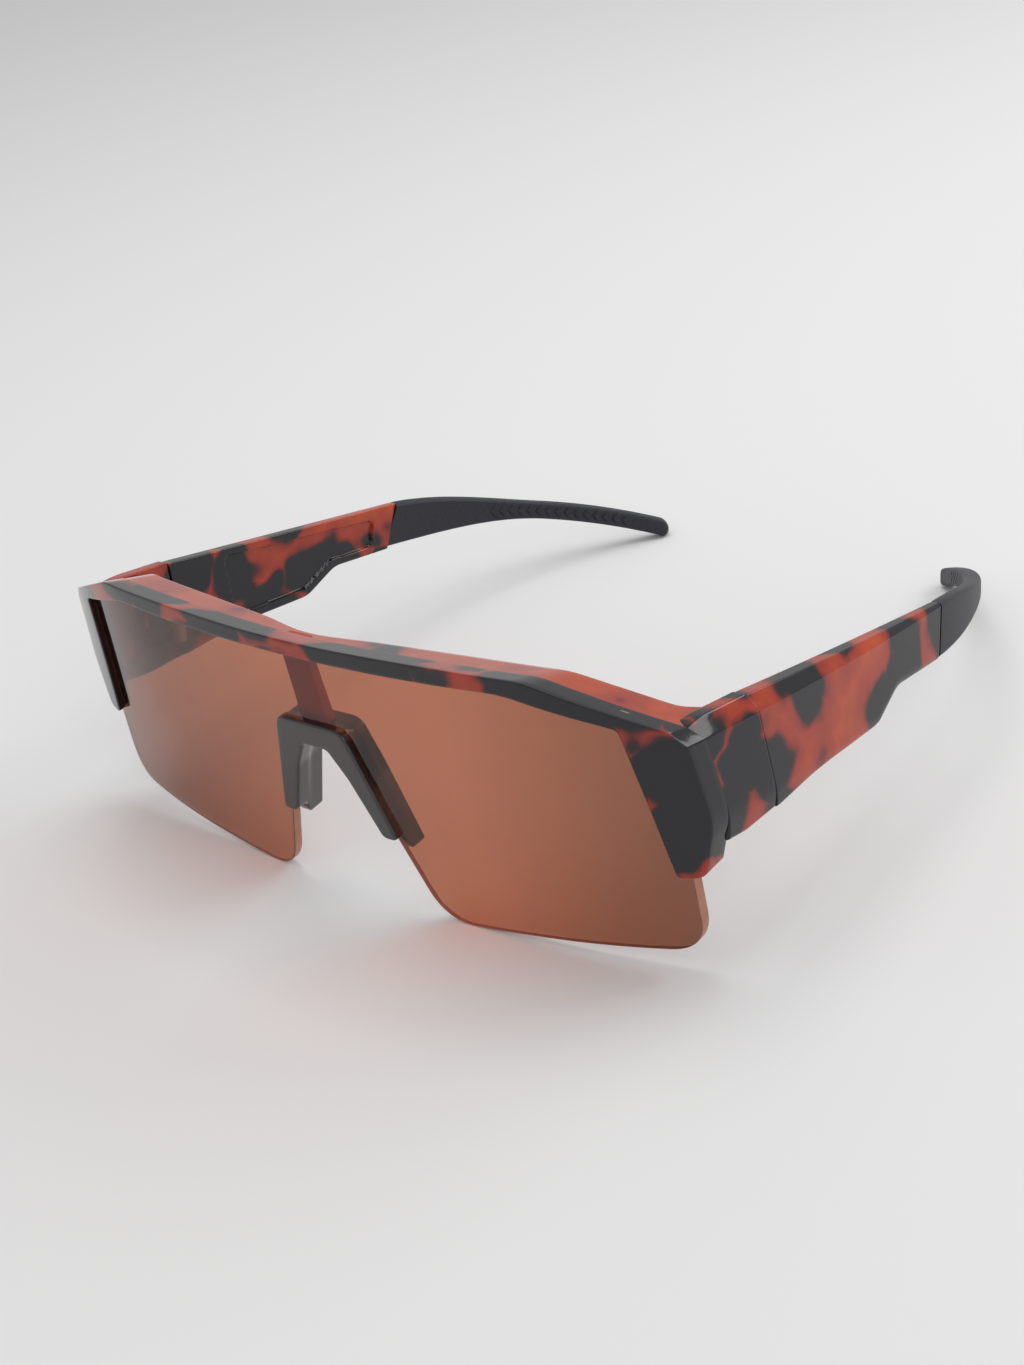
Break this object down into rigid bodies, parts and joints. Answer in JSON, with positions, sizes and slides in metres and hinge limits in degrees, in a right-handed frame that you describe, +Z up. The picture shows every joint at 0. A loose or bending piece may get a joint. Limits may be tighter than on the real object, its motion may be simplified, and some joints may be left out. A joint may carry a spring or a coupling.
{
  "type": "fitover sunglasses",
  "caption": "Semi-rimless fitover sunglasses with a one-piece curved shield lens, wide hinged temples and drooping rubber tips.",
  "frame": {"origin": "centre of the bounding box at the surface the open glasses stand on", "axes": "+X to the wearer's left, +Y from the lens back towards the temple tips, +Z up; the glasses stand on the lens' lower edge and both temple tips"},
  "size_m": [0.1534, 0.1516, 0.0567],
  "materials": {
    "tortoise_frame": "polished tortoise-shell",
    "tortoise_temple": "polished tortoise-shell",
    "lens": "polished amber-brown tint",
    "rubber_tip": "matte",
    "hinge_metal": "satin",
    "screw_metal": "satin"
  },
  "bodies": {
    "front": {"front_frame": "tortoise_frame", "shield_lens": "lens", "left_front_hinge": "hinge_metal", "left_hinge_screw": "screw_metal", "left_front_near_fixing_screw": "screw_metal", "left_front_far_fixing_screw": "screw_metal", "right_front_hinge": "hinge_metal", "right_hinge_screw": "screw_metal", "right_front_near_fixing_screw": "screw_metal", "right_front_far_fixing_screw": "screw_metal"},
    "left_temple": {"left_temple_arm": "tortoise_temple", "left_temple_tip": "rubber_tip", "left_temple_hinge": "hinge_metal", "left_temple_near_fixing_screw": "screw_metal", "left_temple_far_fixing_screw": "screw_metal"},
    "right_temple": {"right_temple_arm": "tortoise_temple", "right_temple_tip": "rubber_tip", "right_temple_hinge": "hinge_metal", "right_temple_near_fixing_screw": "screw_metal", "right_temple_far_fixing_screw": "screw_metal"}
  },
  "joints": [
    {"name": "left_temple_hinge", "type": "hinge", "parent": "front", "child": "left_temple", "pos_m": [0.0696, -0.04342, 0.03222], "axis": [0, 0.1929, 0.9812], "range_deg": [0, 82]},
    {"name": "right_temple_hinge", "type": "hinge", "parent": "front", "child": "right_temple", "pos_m": [-0.0696, -0.04342, 0.03222], "axis": [0, 0.1929, 0.9812], "range_deg": [-69, 0]}
  ]
}
